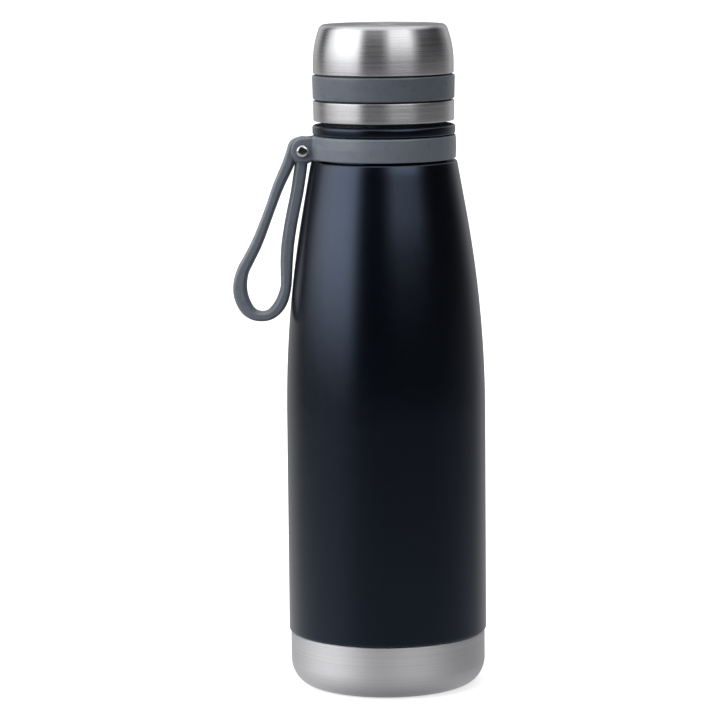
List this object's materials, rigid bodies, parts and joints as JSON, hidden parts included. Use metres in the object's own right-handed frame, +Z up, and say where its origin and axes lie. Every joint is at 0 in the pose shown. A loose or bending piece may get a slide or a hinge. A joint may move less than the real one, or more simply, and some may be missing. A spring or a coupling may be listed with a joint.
{
  "type": "insulated water bottle",
  "caption": "Slim double-walled vacuum bottle with a tapered shoulder, screw lid, base cup and a flat carry strap pinned to a collar at its neck.",
  "frame": {"origin": "centre of the base cup's flat underside, on the bottle's axis", "axes": "+Z up along the bottle's axis towards the lid; -X towards the strap's pin; the pin lies along Y"},
  "size_m": [0.0922, 0.073, 0.243],
  "materials": {
    "powder_coat": "fine satin powder coat, near-black with a blue cast",
    "brushed_steel": "brushed round the axis, satin",
    "flask_steel": "electropolished, satin",
    "polished_steel": "polished",
    "grey_silicone": "moulded silicone, matt, slate grey",
    "gasket_silicone": "translucent white silicone",
    "black_plastic": "moulded polypropylene, fine grain",
    "white_foam": "moulded bead foam",
    "copper_foil": "copper-faced foil, bright",
    "braze": "cast braze",
    "getter": "sintered metal",
    "adhesive": "cured adhesive"
  },
  "bodies": {
    "bottle": {"outer_shell": "powder_coat", "threaded_neck": "flask_steel", "inner_flask": "flask_steel", "reflective_foil": "copper_foil", "vacuum_base_plate": "flask_steel", "vacuum_seal_bead": "braze", "getter_capsule": "getter", "base_adhesive_ring": "adhesive", "base_cup": "brushed_steel"},
    "collar": {"strap_collar": "grey_silicone", "rivet_post": "polished_steel", "rivet_cap": "polished_steel"},
    "strap": {"strap_loop": "grey_silicone"},
    "lid_seal": {"lid_gasket": "gasket_silicone"},
    "lid_plug": {"lid_underside_plate": "flask_steel"},
    "lid": {"lid_top_shell": "brushed_steel", "lid_grip_band": "grey_silicone", "lid_lower_ring": "brushed_steel", "lid_core": "black_plastic", "lid_insulation_puck": "white_foam"}
  },
  "joints": [
    {"name": "lid_lift", "type": "slide", "parent": "bottle", "child": "lid_seal", "axis": [0, 0, 1], "range_m": [0, 0.05]},
    {"name": "lid_rise", "type": "slide", "parent": "lid_seal", "child": "lid_plug", "axis": [0, 0, 1], "range_m": [0, 0.007]},
    {"name": "lid_turn", "type": "hinge", "parent": "lid_plug", "child": "lid", "pos_m": [0, 0, 0.2222], "axis": [0, 0, 1], "range_deg": [0, 630]},
    {"name": "collar_turn", "type": "hinge", "parent": "bottle", "child": "collar", "pos_m": [0, 0, 0.1975], "axis": [0, 0, 1], "continuous": true},
    {"name": "strap_swing", "type": "hinge", "parent": "collar", "child": "strap", "pos_m": [-0.0295, 0, 0.1975], "axis": [0, 1, 0], "range_deg": [0, 115]}
  ],
  "couplings": [
    {"joint": "lid_rise", "follows": "lid_turn", "m_per_rad": 0.00063662}
  ]
}
